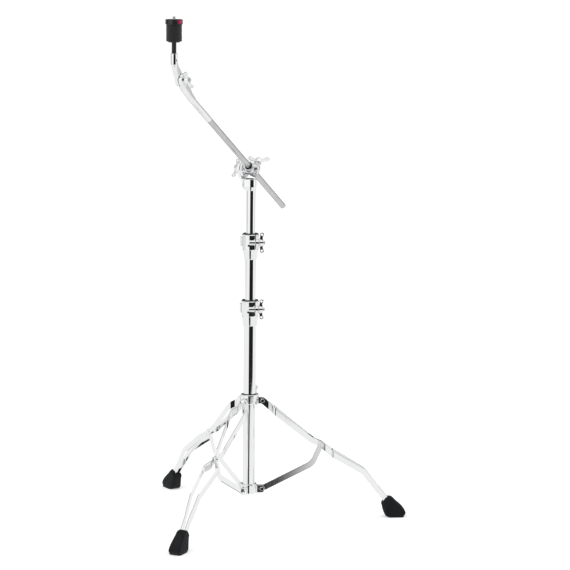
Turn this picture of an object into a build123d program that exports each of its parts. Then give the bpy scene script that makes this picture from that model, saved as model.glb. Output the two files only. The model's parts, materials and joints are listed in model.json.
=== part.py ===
from build123d import *
import os
from math import cos, radians, sin

os.makedirs("parts", exist_ok=True)

# A boom stand for a cymbal. Millimetres, +Z up, origin on the tube axis at the floor.
# Leg 1 points along +X. The boom rises over leg 3, in the vertical plane at -120 degrees.

# ---------------------------------------------------------------- driving dimensions
RUN = 0.05                      # radial running clearance
GAP = 0.3                       # clearance of soft pieces

BASE_R, BASE_BORE = 14.3, 13.0
MIDDLE_R, MIDDLE_BORE = 12.5, 11.3
UPPER_R, UPPER_BORE = 10.5, 9.3
BASE_BOTTOM, BASE_TOP = 58.5, 472.0
MIDDLE_BOTTOM, MIDDLE_TOP = 300.0, 625.0
UPPER_BOTTOM, UPPER_TOP = 450.0, 776.0

# tripod linkage: both hubs carry their pivots at one radius, and a leg's upper
# length equals the brace length, so every fold angle is in a constant ratio
HUB_PIVOT_R = 30.0
LEG_PIVOT_Z = 276.0
BRACE_PIVOT_Z = 69.0
JOINT_R = 166.0
JOINT_Z = (LEG_PIVOT_Z + BRACE_PIVOT_Z) / 2
HUB_R = 19.7
BRACE_HUB_R = 18.2
HUB_BOTTOM, HUB_TOP = 269.0, 291.0
HUB_BOLT_Z = 281.0              # wing bolt that locks the leg hub on the tube
BRACE_HUB_BOTTOM, BRACE_HUB_TOP = 60.0, 82.0
LUG_HALF = 4.0                  # half thickness of a leg-hub lug
BRACE_HALF = 2.0                # half thickness of a brace
EAR = 3.6                       # thickness of a brace-hub ear
RAIL_DEPTH = 13.0
RAIL_THICK = 3.0
BRACE_DEPTH = 12.7
RIVET_R = 3.0
RIVET_HEAD_R, RIVET_HEAD_T = 4.8, 1.8
JOINT_HEAD_R, JOINT_HEAD_T = 5.2, 2.0
HEAD_TAPER = 20                 # draft of the domed rivet heads, degrees
SPACER_R, SPACER_GAP = 5.5, 0.1       # washers beside a brace at its middle joint
BRACE_LUG_HALF, LEG_LUG_HALF = 8.5, 8.0     # half heights of the hubs' lugs at their roots
LUG_ROOT = 12.0                 # radius inside a hub where its lugs start
SLEEVE_WALL = 1.6               # nylon sleeve of the leg hub
SLEEVE_STAND = 1.6              # how far it stands above the hub
THROUGH = 25.0                  # half length of a cut that passes right through
LEG_ANGLES = (0, 120, -120)

FOOT_WIDTH = 30.0

# height clamps: top edge, height and radius of each collar
LOWER_CLAMP_TOP, LOWER_CLAMP_R = 507.0, 20.2
UPPER_CLAMP_TOP, UPPER_CLAMP_R = 659.0, 19.3
CLAMP_CYLINDER = 35.0           # height of the cylindrical upper part
CLAMP_TAPER = 22.0              # height of the tapered lower part
BOLT_R = 4.0
WASHER_R, WASHER_T = 8.0, 1.2
CLAMP_WING_SPAN = 23.0
CLAMP_BUSHING_WALL = 3.0
COLLAR_SLIT = 1.6
LIP_HEIGHT = 1.8                # black lip of the bushing above its collar
CLAMP_SCREW_R = 2.5

# boom head
TILT_Z = 807.0
BOOM_ANGLE = 31.2               # rise of the boom above the horizontal
ARM_R = 6.35
ARM_SMOOTH_R = 6.8
ARM_LOW, ARM_STEP, ARM_HIGH = -195.0, 241.0, 330.0
ARM_WALL = 1.6
DRUM_R = 21.0
DRUM_RIM = 1.2                  # chamfer round the yoke's drum
HOLDER_R = 13.0
BUSHING_R = 8.6
CLAMP_T = 12.7                  # sideways place of the boom clamp bolt
CLAMP_TOP = 14.5                # seat of the boom wing nut above the arm axis
CLAMP_LOW = 13.8                # seat of the boom clamp bolt's head below it
CLAMP_HALF = 15.0               # half length of the boom holder's clamp along the arm
CLAMP_BARREL_R, CLAMP_LUG_R = 11.6, 7.2
HOLDER_SLIT = 0.8
BOOM_BOLT_HEAD_R, BOOM_BOLT_HEAD_T = 6.4, 4.0
BOOM_BOLT_END = 13.5            # length of the boom clamp bolt above its washer's seat
YOKE_BOSS_R, YOKE_BOSS_T = 9.5, 3.0
TILT_HEAD_FACE = -12.4          # inner face of the tilt bolt's head
TILT_HEAD_R, TILT_HEAD_T = 6.5, 3.3
TILT_WASHER_T = 1.4
CAP_T, CAP_PLUG = 3.0, 12.0

# cymbal tilter and seat
DRUM_OUT, DRUM_Z = 333.0, 1024.0
TILTER_R = 13.3
ROD_OUT, ROD_SIDE = 357.0, -4.0
ROD_R = 3.0
SLEEVE_R = 4.95
FELT_R = 16.7
NUT_R = 18.4
SLEEVE_BOTTOM, SEAT_Z = 1080.0, 1105.0
FELT_SPLIT, NUT_Z = 1122.5, 1140.5
NUT_TOP, ROD_TIP = 1151.0, 1157.0
BUTTON_ANGLE = -45              # direction of the quick-release button
GRIP_NOTCHES = 7                # with the button, eight places round the nut
NOTCH_DEPTH, NOTCH_WIDTH = 2.4, 6.0
STEM_R = 7.2
SET_SCREW_R = 2.2
ROD_EMBED = 36.0                # lower end of the rod above the tilter's drum
FELT_RIM = 2.0

# ---------------------------------------------------------------- directions and planes
UP = Vector(0, 0, 1)
OUT = Vector(cos(radians(-120)), sin(radians(-120)), 0)     # horizontal, over leg 3
SIDE = Vector(cos(radians(-30)), sin(radians(-30)), 0)      # tilt axes, square to OUT
ARM = OUT * cos(radians(BOOM_ANGLE)) + UP * sin(radians(BOOM_ANGLE))
NORMAL = UP * cos(radians(BOOM_ANGLE)) - OUT * sin(radians(BOOM_ANGLE))
HEAD = Vector(0, 0, TILT_Z)
DRUM = OUT * DRUM_OUT + UP * DRUM_Z
ROD = OUT * ROD_OUT + SIDE * ROD_SIDE


def leg_side(angle):
    """Plane of a leg seen from the side: x outwards, y up, normal along the tangent."""
    radial = Vector(cos(radians(angle)), sin(radians(angle)), 0)
    return Plane(origin=(0, 0, 0), x_dir=radial, z_dir=radial.cross(UP))


def leg_plan(angle, height=0):
    """Plane of a leg seen from above: x outwards, y along the tangent."""
    radial = Vector(cos(radians(angle)), sin(radians(angle)), 0)
    return Plane(origin=(0, 0, height), x_dir=radial, z_dir=(0, 0, 1))


def boom_side(shift=0, centre=HEAD):
    """Plane square to the tilt axes: x along the arm, y square to it, shifted sideways."""
    return Plane(origin=centre + SIDE * shift, x_dir=ARM, z_dir=SIDE * -1)


def upright_side(shift=0):
    """Plane square to the tilt axes through the tube axis: x outwards, y up."""
    return Plane(origin=SIDE * shift, x_dir=OUT, z_dir=SIDE * -1)


def across_arm(distance):
    """Plane square to the arm axis at a distance from the boom head."""
    return Plane(origin=HEAD + ARM * distance, x_dir=SIDE, z_dir=ARM)


def save(piece, name):
    piece.part.label = name
    export_step(piece.part, f"parts/{name}.step")


def ring(name, plane, outer, inner, length):
    """A plain tube or washer standing on a plane."""
    with BuildPart() as piece:
        with BuildSketch(plane):
            Circle(outer)
            Circle(inner, mode=Mode.SUBTRACT)
        extrude(amount=length)
    save(piece, name)


# ---------------------------------------------------------------- wing nuts and wing bolts
def wing_fastener(name, plane, half_span, bore, shank=0.0, rise=0.0, hub_r=7.5, hub_height=10.5):
    """Hub with two wings, each with a round hole; a shank makes it a wing bolt.

    The plane's normal is the screw axis and its x direction is the spread of the wings.
    The rise lifts the wing tips along the screw axis.
    """
    wing_plane = Plane(origin=plane.origin, x_dir=plane.x_dir, z_dir=plane.x_dir.cross(plane.z_dir))
    root, tip = hub_r - 2.0, half_span
    with BuildPart() as piece:
        with BuildSketch(wing_plane):
            with BuildLine():
                lower = Spline(
                    (root, 0.8),
                    (hub_r + 3.0, 1.4 + 0.24 * rise),
                    (tip - 3.0, 2.2 + 0.7 * rise),
                    tangents=((1, 0), (1, 0.07 * rise)),
                )
                end = ThreePointArc(lower @ 1, (tip, 7.2 + 0.8 * rise), (tip - 3.6, 11.6 + 0.8 * rise))
                upper = Spline(
                    end @ 1, (hub_r + 4.0, 8.6 + 0.3 * rise), (root, 9.2), tangents=((-1, -0.2), (-1, -0.1))
                )
                Line(upper @ 1, lower @ 0)
            make_face()
            with Locations((tip - 4.8, 6.6 + 0.8 * rise)):
                Circle(2.4, mode=Mode.SUBTRACT)
            mirror(about=Plane.YZ)
        extrude(amount=2.1, both=True)
        with BuildSketch(wing_plane):
            with BuildLine():
                Polyline(
                    (0, 0), (hub_r, 0), (hub_r, 2.5), (hub_r - 1.6, hub_height), (0, hub_height), close=True
                )
            make_face()
        revolve(axis=Axis(plane.origin, plane.z_dir))
        if shank > 0:
            with BuildSketch(plane):
                Circle(BOLT_R)
            extrude(amount=-shank)
        else:
            with BuildSketch(plane.offset(-1)):
                Circle(bore)
            extrude(amount=hub_height + 8, mode=Mode.SUBTRACT)
    save(piece, name)


# ---------------------------------------------------------------- base tube and hubs
ring("base_tube", Plane.XY.offset(BASE_BOTTOM), BASE_R, BASE_BORE, BASE_TOP - BASE_BOTTOM)


with BuildPart() as brace_hub:
    with BuildSketch(Plane.XY.offset(BRACE_HUB_BOTTOM)):
        Circle(BRACE_HUB_R)
    extrude(amount=BRACE_HUB_TOP - BRACE_HUB_BOTTOM)
    chamfer(brace_hub.edges().filter_by(GeomType.CIRCLE), length=1.2)
    for angle in LEG_ANGLES:
        with BuildSketch(leg_side(angle)):
            with BuildLine():
                FilletPolyline(
                    (LUG_ROOT, BRACE_PIVOT_Z - BRACE_LUG_HALF),
                    (HUB_PIVOT_R + 4, BRACE_PIVOT_Z - BRACE_LUG_HALF),
                    (HUB_PIVOT_R + 7.5, BRACE_PIVOT_Z),
                    (HUB_PIVOT_R + 4, BRACE_PIVOT_Z + BRACE_LUG_HALF),
                    (LUG_ROOT, BRACE_PIVOT_Z + BRACE_LUG_HALF),
                    radius=3.0,
                )
                Line(
                    (LUG_ROOT, BRACE_PIVOT_Z + BRACE_LUG_HALF),
                    (LUG_ROOT, BRACE_PIVOT_Z - BRACE_LUG_HALF),
                )
            make_face()
        extrude(amount=BRACE_HALF + RUN + EAR, both=True)
        with BuildSketch(leg_side(angle)):
            with Locations((BRACE_HUB_R + 22.5, BRACE_PIVOT_Z)):
                Rectangle(40, 30)
        extrude(amount=BRACE_HALF + RUN, both=True, mode=Mode.SUBTRACT)
        with BuildSketch(leg_side(angle)):
            with Locations((HUB_PIVOT_R, BRACE_PIVOT_Z)):
                Circle(RIVET_R)
        extrude(amount=20, both=True, mode=Mode.SUBTRACT)
    with BuildSketch(Plane.XY.offset(BASE_BOTTOM - 10)):
        Circle(BASE_R)
    extrude(amount=60, mode=Mode.SUBTRACT)
save(brace_hub, "brace_hub")

with BuildPart() as leg_hub:
    with BuildSketch(Plane.XY.offset(HUB_BOTTOM)):
        Circle(HUB_R)
    extrude(amount=HUB_TOP - HUB_BOTTOM)
    chamfer(leg_hub.edges().filter_by(GeomType.CIRCLE), length=1.2)
    for angle in LEG_ANGLES:
        with BuildSketch(leg_side(angle)):
            with BuildLine():
                FilletPolyline(
                    (LUG_ROOT, LEG_PIVOT_Z - LEG_LUG_HALF),
                    (HUB_PIVOT_R + 3, LEG_PIVOT_Z - 7),
                    (HUB_PIVOT_R + 6.5, LEG_PIVOT_Z),
                    (HUB_PIVOT_R + 3, LEG_PIVOT_Z + 7),
                    (LUG_ROOT, LEG_PIVOT_Z + LEG_LUG_HALF),
                    radius=3.0,
                )
                Line((LUG_ROOT, LEG_PIVOT_Z + LEG_LUG_HALF), (LUG_ROOT, LEG_PIVOT_Z - LEG_LUG_HALF))
            make_face()
        extrude(amount=LUG_HALF, both=True)
    boss_plane = Plane(origin=(0, 0, HUB_BOLT_Z), x_dir=UP, z_dir=OUT * -1)
    with BuildSketch(boss_plane.offset(14)):
        Circle(8.0)
    extrude(amount=13)
    for angle in LEG_ANGLES:
        with BuildSketch(leg_side(angle)):
            with Locations((HUB_PIVOT_R, LEG_PIVOT_Z)):
                Circle(RIVET_R + RUN)
        extrude(amount=20, both=True, mode=Mode.SUBTRACT)
    with BuildSketch(Plane.XY.offset(LEG_PIVOT_Z - 40)):
        Circle(BASE_R + SLEEVE_WALL)
    extrude(amount=80, mode=Mode.SUBTRACT)
    with BuildSketch(boss_plane.offset(10)):
        Circle(BOLT_R + RUN)
    extrude(amount=20, mode=Mode.SUBTRACT)
save(leg_hub, "leg_hub")

ring(
    "leg_hub_sleeve",
    Plane.XY.offset(HUB_BOTTOM),
    BASE_R + SLEEVE_WALL,
    BASE_R + RUN,
    HUB_TOP - HUB_BOTTOM + SLEEVE_STAND,
)

HUB_BOLT_SEAT = 27.3
wing_fastener(
    "leg_hub_wing_bolt",
    Plane(origin=UP * HUB_BOLT_Z - OUT * HUB_BOLT_SEAT, x_dir=UP, z_dir=OUT * -1),
    half_span=23.5,
    bore=0,
    rise=3.0,
    shank=HUB_BOLT_SEAT - BASE_R - 1.8,
)


def hub_rivets(name, pivot_z, half_length):
    """One riveted pin per leg across a hub's lugs, a separate solid each."""
    with BuildPart() as pins:
        for angle in LEG_ANGLES:
            with BuildSketch(leg_side(angle)):
                with Locations((HUB_PIVOT_R, pivot_z)):
                    Circle(RIVET_R)
            extrude(amount=half_length, both=True)
            for side in (-1, 1):
                with BuildSketch(leg_side(angle).offset(side * half_length)):
                    with Locations((HUB_PIVOT_R, pivot_z)):
                        Circle(RIVET_HEAD_R)
                extrude(amount=side * RIVET_HEAD_T, taper=HEAD_TAPER)
    save(pins, name)


hub_rivets("brace_hub_rivets", BRACE_PIVOT_Z, BRACE_HALF + RUN + EAR + RUN)
hub_rivets("leg_hub_rivets", LEG_PIVOT_Z, LUG_HALF + RUN + RAIL_THICK + RUN)


# ---------------------------------------------------------------- legs, braces and feet
MID_HALF = BRACE_HALF + 0.6                     # inner face of the rails at the middle joint
RAIL_SIDE = [
    (HUB_PIVOT_R, LEG_PIVOT_Z),
    (58, 252.5),
    (143, 184),
    (JOINT_R, JOINT_Z),
    (188, 154),
    (264, 109),
    (317, 42),
    (323, 33),
]
RAIL_SIDE_RADII = [20, 30, 12, 20, 25, 40]
LUG_RAIL = LUG_HALF + RUN + RAIL_THICK / 2
JOINT_RAIL = MID_HALF + RAIL_THICK / 2
RAIL_PLAN = [
    (15, LUG_RAIL),
    (46, LUG_RAIL),
    (56.5, 18.5),
    (137, 8.5),
    (150, 8.3),
    (157, JOINT_RAIL),
    (177, JOINT_RAIL),
    (190, 18),
    (289, 7.5),
    (299, 5.5),
    (340, 5.5),
]
RAIL_PLAN_RADII = [7, 7, 4, 3, 3, 7, 7, 3, 3]
BRACE_SIDE = [(HUB_PIVOT_R, BRACE_PIVOT_Z), (146, 127), (JOINT_R, JOINT_Z)]
FOOT_SIDE = [
    (306, 31),
    (318, 48),
    (328, 49.5),
    (340, 37),
    (357, 24),
    (364.5, 9),
    (360, 0),
    (320, 0),
    (310, 11),
]
FOOT_PLAN = [
    (304, -10.5),
    (325, -13),
    (350, -15),
    (366, -10),
    (366, 10),
    (350, 15),
    (325, 13),
    (304, 10.5),
]

for number, angle in enumerate(LEG_ANGLES, start=1):
    with BuildPart() as rails:
        with BuildSketch(leg_side(angle)):
            with BuildLine():
                FilletPolyline(*RAIL_SIDE, radius=RAIL_SIDE_RADII)
            trace(line_width=RAIL_DEPTH)
            with Locations(RAIL_SIDE[0]):
                Circle(RAIL_DEPTH / 2)
        extrude(amount=THROUGH, both=True)
        with BuildSketch(leg_plan(angle)):
            with BuildLine():
                FilletPolyline(*RAIL_PLAN, radius=RAIL_PLAN_RADII)
            trace(line_width=RAIL_THICK)
            mirror(about=Plane.XZ)
        extrude(amount=320, mode=Mode.INTERSECT)
        with BuildSketch(leg_side(angle)):
            with Locations((HUB_PIVOT_R, LEG_PIVOT_Z)):
                Circle(RIVET_R + RUN)
        extrude(amount=THROUGH, both=True, mode=Mode.SUBTRACT)
        with BuildSketch(leg_side(angle)):
            with Locations((JOINT_R, JOINT_Z)):
                Circle(RIVET_R)
        extrude(amount=THROUGH, both=True, mode=Mode.SUBTRACT)
    save(rails, f"leg_{number}_rails")

    with BuildPart() as joint:
        with BuildSketch(leg_side(angle)):
            with Locations((JOINT_R, JOINT_Z)):
                Circle(RIVET_R)
        extrude(amount=JOINT_RAIL + RAIL_THICK / 2, both=True)
        for side in (-1, 1):
            with BuildSketch(leg_side(angle).offset(side * (JOINT_RAIL + RAIL_THICK / 2))):
                with Locations((JOINT_R, JOINT_Z)):
                    Circle(JOINT_HEAD_R)
            extrude(amount=side * JOINT_HEAD_T, taper=HEAD_TAPER)
            with BuildSketch(leg_side(angle).offset(side * (BRACE_HALF + SPACER_GAP))):
                with Locations((JOINT_R, JOINT_Z)):
                    Circle(SPACER_R)
            extrude(amount=side * (MID_HALF - BRACE_HALF - SPACER_GAP))
    save(joint, f"leg_{number}_joint_rivet")

    with BuildPart() as foot:
        with BuildSketch(leg_side(angle)):
            with BuildLine():
                FilletPolyline(*FOOT_SIDE, radius=2.5, close=True)
            make_face()
        extrude(amount=FOOT_WIDTH / 2, both=True)
        with BuildSketch(leg_plan(angle, -1)):
            with BuildLine():
                FilletPolyline(*FOOT_PLAN, radius=4.0, close=True)
            make_face()
        extrude(amount=60, mode=Mode.INTERSECT)
        add(rails.part, mode=Mode.SUBTRACT)
    save(foot, f"leg_{number}_foot")

    with BuildPart() as brace:
        with BuildSketch(leg_side(angle)):
            with BuildLine():
                FilletPolyline(*BRACE_SIDE, radius=30)
            trace(line_width=BRACE_DEPTH)
            with Locations(BRACE_SIDE[0], BRACE_SIDE[-1]):
                Circle(BRACE_DEPTH / 2)
            with Locations(BRACE_SIDE[0], BRACE_SIDE[-1]):
                Circle(RIVET_R + RUN, mode=Mode.SUBTRACT)
        extrude(amount=BRACE_HALF, both=True)
    save(brace, f"brace_{number}")


# ---------------------------------------------------------------- height clamps
def height_clamp(prefix, top, radius, tube_r, outer_r, outer_top):
    """Split collar on an outer tube, its bushing round the inner tube, bolt, washer and screws."""
    bushing_r = tube_r + CLAMP_BUSHING_WALL
    bottom = top - CLAMP_CYLINDER - CLAMP_TAPER
    shoulder = top - CLAMP_CYLINDER
    bolt_y = -(bushing_r + BOLT_R + RUN)
    bolt_z = top - 17.5
    slit_x = 10.0
    ear_end = 17.0
    with BuildPart() as collar:
        with BuildSketch(Plane.XZ):
            with BuildLine():
                Polyline(
                    (outer_r, bottom),
                    (outer_r + 1.6, bottom),
                    (outer_r + 2.4, bottom + 1.6),
                    (radius - 1.8, shoulder - 0.6),
                    (radius, shoulder + 1.2),
                    (radius, top - 1.4),
                    (radius - 1.4, top),
                    (bushing_r, top),
                    (bushing_r, outer_top),
                    (outer_r, outer_top),
                    close=True,
                )
            make_face()
        revolve(axis=Axis.Z)
        for x_start, x_end, lug_r in ((-4, 9.4, 5.6), (9.4, ear_end, 7.5)):
            with BuildSketch(Plane(origin=(x_start, bolt_y, bolt_z), x_dir=UP, z_dir=(1, 0, 0))):
                Circle(lug_r)
            extrude(amount=x_end - x_start)
        with BuildSketch(Plane.XY.offset(bolt_z - 6)):
            with Locations(((slit_x + ear_end) / 2, bolt_y + 5)):
                Rectangle(ear_end - slit_x, 10)
        extrude(amount=12)
        for step in range(3):
            with Locations((-(radius - 0.6), 0, top - 9.5 - 7.2 * step)):
                Cylinder(4.4, 6.4)
        with Locations((-(radius - 0.6), 0, top - 16.7)):
            Cylinder(3.8, 20)
        with BuildSketch(Plane.XY.offset(outer_top)):
            Circle(bushing_r)
        extrude(amount=80, mode=Mode.SUBTRACT)
        with BuildSketch(Plane.XY.offset(outer_top + 2)):
            with Locations((slit_x, -bushing_r - 10)):
                Rectangle(COLLAR_SLIT, 26)
        extrude(amount=80, mode=Mode.SUBTRACT)
        with BuildSketch(Plane(origin=(-3, bolt_y, bolt_z), x_dir=UP, z_dir=(1, 0, 0))):
            Circle(BOLT_R)
        extrude(amount=40, mode=Mode.SUBTRACT)
        screw_dir = Vector(-0.26, -0.966, 0)
        screw_plane = Plane(origin=UP * (top - 24.3), x_dir=UP, z_dir=screw_dir)
        with BuildSketch(screw_plane.offset(bushing_r - 1)):
            Circle(CLAMP_SCREW_R)
        extrude(amount=12, mode=Mode.SUBTRACT)
    save(collar, f"{prefix}_clamp_collar")

    with BuildPart() as bushing:
        with BuildSketch(Plane.XY.offset(outer_top)):
            Circle(bushing_r)
            Circle(tube_r + RUN, mode=Mode.SUBTRACT)
        extrude(amount=top - outer_top)
        with BuildSketch(Plane.XY.offset(top)):
            Circle(radius - 1.6)
            Circle(tube_r + RUN, mode=Mode.SUBTRACT)
        extrude(amount=LIP_HEIGHT)
        with BuildSketch(Plane.XY.offset(outer_top - 1)):
            with Locations((0, bushing_r)):
                Rectangle(1.5, 12)
        extrude(amount=60, mode=Mode.SUBTRACT)
    save(bushing, f"{prefix}_clamp_bushing")

    with BuildPart() as bolt:
        with BuildSketch(Plane(origin=(-3, bolt_y, bolt_z), x_dir=UP, z_dir=(1, 0, 0))):
            Circle(BOLT_R)
        extrude(amount=35)
        chamfer(bolt.edges().group_by(Axis.X)[-1], length=0.8)
    save(bolt, f"{prefix}_clamp_bolt")

    ring(
        f"{prefix}_clamp_washer",
        Plane(origin=(ear_end, bolt_y, bolt_z), x_dir=UP, z_dir=(1, 0, 0)),
        WASHER_R,
        BOLT_R,
        WASHER_T,
    )
    with BuildPart() as screw:
        with BuildSketch(screw_plane.offset(bushing_r)):
            Circle(CLAMP_SCREW_R)
        extrude(amount=radius - bushing_r - 1.5)
        with BuildSketch(screw_plane.offset(radius - 2.6)):
            RegularPolygon(1.2, 6)
        extrude(amount=5, mode=Mode.SUBTRACT)
    save(screw, f"{prefix}_clamp_screw")

    wing_fastener(
        f"{prefix}_clamp_wing_nut",
        Plane(origin=(ear_end + WASHER_T + RUN, bolt_y, bolt_z), x_dir=UP, z_dir=(1, 0, 0)),
        half_span=CLAMP_WING_SPAN,
        bore=BOLT_R + RUN,
    )


height_clamp("lower", LOWER_CLAMP_TOP, LOWER_CLAMP_R, MIDDLE_R, BASE_R, BASE_TOP)
height_clamp("upper", UPPER_CLAMP_TOP, UPPER_CLAMP_R, UPPER_R, MIDDLE_R, MIDDLE_TOP)


# ---------------------------------------------------------------- sliding tubes
def tube_with_glide(tube_name, glide_name, outer, bore, bottom, top, sleeve_bore):
    """Tube whose lower end turns on a nylon plug that slides in the tube outside it."""
    ring(tube_name, Plane.XY.offset(bottom), outer, bore, top - bottom)
    with BuildPart() as glide:
        with BuildSketch(Plane.XZ):
            with BuildLine():
                Polyline(
                    (bore - 3, bottom - 7),
                    (sleeve_bore - RUN - 0.5, bottom - 7),
                    (sleeve_bore - RUN, bottom - 6),
                    (sleeve_bore - RUN, bottom - RUN),
                    (bore - RUN, bottom - RUN),
                    (bore - RUN, bottom + 14),
                    (bore - 1, bottom + 15),
                    (bore - 3, bottom + 15),
                    close=True,
                )
            make_face()
        revolve(axis=Axis.Z)
    save(glide, glide_name)


tube_with_glide("middle_tube", "lower_glide", MIDDLE_R, MIDDLE_BORE, MIDDLE_BOTTOM, MIDDLE_TOP, BASE_BORE)
tube_with_glide("upper_tube", "upper_glide", UPPER_R, UPPER_BORE, UPPER_BOTTOM, UPPER_TOP, MIDDLE_BORE)


# ---------------------------------------------------------------- boom head
YOKE_OUT, YOKE_IN = -26.0, -18.0
HOLDER_FACE = -12.0
COLLAR_R, COLLAR_BOTTOM, COLLAR_TOP = 12.6, 758.0, 784.6
COLLAR_SHIFT = 9.0              # how far the collar reaches under the yoke's drum
COLLAR_LEDGE = 766.0            # below this the collar narrows to a ring round the tube
CAP_HALF = 11.5                 # half width of the neck along the boom


def collar_slot(height):
    """Sketch plane of the yoke's collar: x sideways along the tilt axis."""
    return Plane(origin=UP * height, x_dir=SIDE, z_dir=UP)


with BuildPart() as boom_head_yoke:
    with BuildSketch(collar_slot(COLLAR_LEDGE)):
        SlotCenterPoint((-COLLAR_SHIFT / 2, 0), (0, 0), height=2 * COLLAR_R)
    extrude(amount=COLLAR_TOP - COLLAR_LEDGE)
    chamfer(boom_head_yoke.edges().group_by(Axis.Z)[-1], length=1.5)
    with BuildSketch(collar_slot(COLLAR_LEDGE)):
        SlotCenterPoint((-COLLAR_SHIFT / 2, 0), (0, 0), height=2 * COLLAR_R)
    with BuildSketch(collar_slot(COLLAR_BOTTOM)):
        SlotCenterPoint((-0.4, 0), (0, 0), height=2 * (UPPER_R + 1.0))
    loft()
    with BuildSketch(Plane.XY.offset(COLLAR_BOTTOM - 1)):
        Circle(UPPER_R)
    extrude(amount=UPPER_TOP - COLLAR_BOTTOM + 1, mode=Mode.SUBTRACT)
    with BuildSketch(Plane(origin=UP * 0, x_dir=SIDE, z_dir=OUT)):
        with BuildLine():
            Polyline(
                (YOKE_OUT, TILT_Z - 4),
                (YOKE_OUT, TILT_Z - 20),
                (-17, UPPER_TOP),
                (2, UPPER_TOP),
                (2, COLLAR_TOP),
                (YOKE_IN, COLLAR_TOP),
                (YOKE_IN, TILT_Z - 4),
                close=True,
            )
        make_face()
    extrude(amount=CAP_HALF, both=True)
    with BuildSketch(collar_slot(COLLAR_TOP)):
        with BuildLine():
            Polyline(
                (-20, CAP_HALF),
                (2.5, -2),
                (12, -2),
                (12, CAP_HALF + 1),
                (-20, CAP_HALF + 1),
                close=True,
            )
        make_face()
    extrude(amount=TILT_Z - COLLAR_TOP, mode=Mode.SUBTRACT)
    with BuildSketch(Plane(origin=HEAD, x_dir=SIDE, z_dir=NORMAL)):
        with BuildLine():
            Polyline(
                (YOKE_OUT, 0),
                (YOKE_OUT, DRUM_R - DRUM_RIM),
                (YOKE_OUT + DRUM_RIM, DRUM_R),
                (YOKE_IN - DRUM_RIM, DRUM_R),
                (YOKE_IN, DRUM_R - DRUM_RIM),
                (YOKE_IN, 0),
                close=True,
            )
        make_face()
    revolve(axis=Axis(HEAD, SIDE))
    with BuildSketch(boom_side(YOKE_OUT)):
        Circle(YOKE_BOSS_R)
    extrude(amount=YOKE_BOSS_T)
    with BuildSketch(boom_side(YOKE_OUT - 10)):
        Circle(BOLT_R + RUN)
    extrude(amount=-40, mode=Mode.SUBTRACT)
save(boom_head_yoke, "boom_head_yoke")

with BuildPart() as boom_holder:
    with BuildSketch(boom_side(YOKE_IN + RUN)):
        Circle(DRUM_R)
    extrude(amount=YOKE_IN + RUN - HOLDER_FACE)
    chamfer(edges().filter_by(GeomType.CIRCLE), length=1.0)
    with BuildSketch(Plane(origin=HEAD, x_dir=SIDE, z_dir=NORMAL)):
        with BuildLine():
            flat = Line((HOLDER_FACE - 1, 0), (HOLDER_FACE - 1, HOLDER_R))
            side_wall = Line(flat @ 1, (9, HOLDER_R))
            dome = CenterArc((9, 0), HOLDER_R, 90, -90)
            Line(dome @ 1, flat @ 0)
        make_face()
    revolve(axis=Axis(HEAD, SIDE))
    with BuildSketch(across_arm(-CLAMP_HALF)):
        Circle(CLAMP_BARREL_R)
    extrude(amount=2 * CLAMP_HALF)
    with BuildSketch(Plane(origin=HEAD + SIDE * CLAMP_T - NORMAL * CLAMP_LOW, x_dir=ARM, z_dir=NORMAL)):
        Circle(CLAMP_LUG_R)
    extrude(amount=CLAMP_LOW + CLAMP_TOP)
    with BuildSketch(across_arm(-20)):
        Circle(BUSHING_R)
    extrude(amount=40, mode=Mode.SUBTRACT)
    with BuildSketch(across_arm(-20)):
        with Locations((20, 0)):
            Rectangle(28, HOLDER_SLIT)
    extrude(amount=40, mode=Mode.SUBTRACT)
    with BuildSketch(Plane(origin=HEAD + SIDE * CLAMP_T - NORMAL * 20, x_dir=ARM, z_dir=NORMAL)):
        Circle(BOLT_R)
    extrude(amount=50, mode=Mode.SUBTRACT)
    with BuildSketch(boom_side(TILT_HEAD_FACE)):
        Circle(TILT_HEAD_R)
    extrude(amount=-8, mode=Mode.SUBTRACT)
    with BuildSketch(boom_side(-30)):
        Circle(BOLT_R)
    extrude(amount=-20, mode=Mode.SUBTRACT)
save(boom_holder, "boom_holder")

with BuildPart() as tilt_bolt:
    with BuildSketch(boom_side(-42)):
        Circle(BOLT_R)
    extrude(amount=-30)
    with BuildSketch(boom_side(TILT_HEAD_FACE)):
        Circle(TILT_HEAD_R)
    extrude(amount=-TILT_HEAD_T)
save(tilt_bolt, "tilt_bolt")

TILT_SEAT = YOKE_OUT - YOKE_BOSS_T
ring("tilt_washer", boom_side(TILT_SEAT), 8.5, BOLT_R, TILT_WASHER_T)
wing_fastener(
    "tilt_wing_nut",
    Plane(
        origin=HEAD + SIDE * (TILT_SEAT - TILT_WASHER_T - RUN),
        x_dir=UP * cos(radians(33)) - OUT * sin(radians(33)),
        z_dir=SIDE * -1,
    ),
    half_span=23.0,
    bore=BOLT_R + RUN,
    rise=2.0,
)

with BuildPart() as boom_clamp_bolt:
    with BuildSketch(Plane(origin=HEAD + SIDE * CLAMP_T - NORMAL * CLAMP_LOW, x_dir=ARM, z_dir=NORMAL)):
        RegularPolygon(BOOM_BOLT_HEAD_R, 6)
    extrude(amount=-BOOM_BOLT_HEAD_T)
    with BuildSketch(Plane(origin=HEAD + SIDE * CLAMP_T - NORMAL * CLAMP_LOW, x_dir=ARM, z_dir=NORMAL)):
        Circle(BOLT_R)
    extrude(amount=CLAMP_LOW + CLAMP_TOP + BOOM_BOLT_END)
save(boom_clamp_bolt, "boom_clamp_bolt")

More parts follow.
